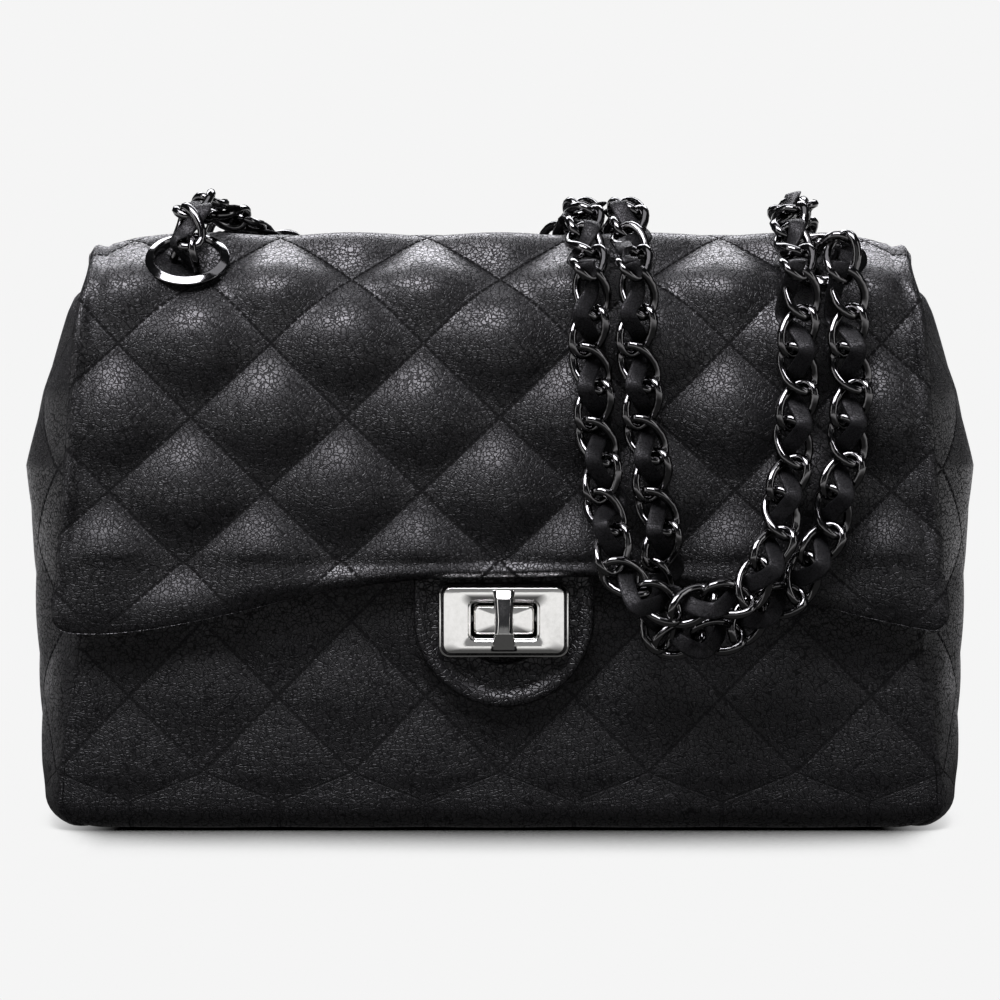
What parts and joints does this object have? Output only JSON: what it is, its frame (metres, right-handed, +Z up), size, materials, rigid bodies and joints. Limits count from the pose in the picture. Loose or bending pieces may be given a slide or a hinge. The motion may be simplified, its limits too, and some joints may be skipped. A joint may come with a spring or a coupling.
{
  "type": "flap handbag",
  "caption": "Quilted shoulder bag with a flap, a turn lock on a rounded leather tab, and a chain strap woven with a leather lace through four eyelets.",
  "frame": {"origin": "centre of the base, on the surface that the bag stands on", "axes": "+X to the right as seen from the front, +Y to the back, +Z up"},
  "size_m": [0.3, 0.1362, 0.1995],
  "materials": {
    "quilted_leather": "fine pebble grain, soft sheen",
    "smooth_leather": "smooth, satin",
    "lining_leather": "plain, matt",
    "fibre_board": "pressed fibre, matt",
    "gunmetal": "dark polished plating",
    "polished_silver": "mirror polished",
    "steel": "plain"
  },
  "bodies": {
    "bag": {"front_panel": "quilted_leather", "back_panel": "quilted_leather", "gusset_left": "quilted_leather", "gusset_right": "quilted_leather", "base_panel": "quilted_leather", "base_board": "fibre_board", "lining": "lining_leather", "lock_base": "polished_silver", "lock_back_plate": "steel", "lock_rivet_left": "steel", "lock_rivet_right": "steel"},
    "turn_knob": {"knob": "polished_silver", "knob_spindle": "steel", "wave_washer": "steel"},
    "flap": {"flap": "quilted_leather", "flap_lining": "smooth_leather", "lock_tab": "smooth_leather", "lock_plate": "polished_silver", "plate_frame": "steel", "plate_pin_left": "steel", "plate_pin_right": "steel", "eyelet_front_left": "gunmetal", "eyelet_front_right": "gunmetal", "eyelet_back_left": "gunmetal", "eyelet_back_right": "gunmetal", "eyelet_washer_front_left": "gunmetal", "eyelet_washer_front_right": "gunmetal", "eyelet_washer_back_left": "gunmetal", "eyelet_washer_back_right": "gunmetal", "run_left_chain": "gunmetal", "run_left_lace": "smooth_leather", "run_right_chain": "gunmetal", "run_right_lace": "smooth_leather"},
    "strap_loops": {"loop_front_chain": "gunmetal", "loop_front_lace": "smooth_leather", "loop_rear_chain": "gunmetal", "loop_rear_lace": "smooth_leather"}
  },
  "joints": [
    {"name": "flap_hinge", "type": "hinge", "parent": "bag", "child": "flap", "pos_m": [0, 0.046, 0.1703], "axis": [-1, 0, 0], "range_deg": [0, 180]},
    {"name": "knob_turn", "type": "hinge", "parent": "bag", "child": "turn_knob", "pos_m": [0.0012, -0.06, 0.0663], "axis": [0, 1, 0], "range_deg": [0, 90]},
    {"name": "strap_swing", "type": "hinge", "parent": "flap", "child": "strap_loops", "pos_m": [0, -0.0676, 0.1735], "axis": [-1, 0, 0], "range_deg": [0, 150]}
  ]
}
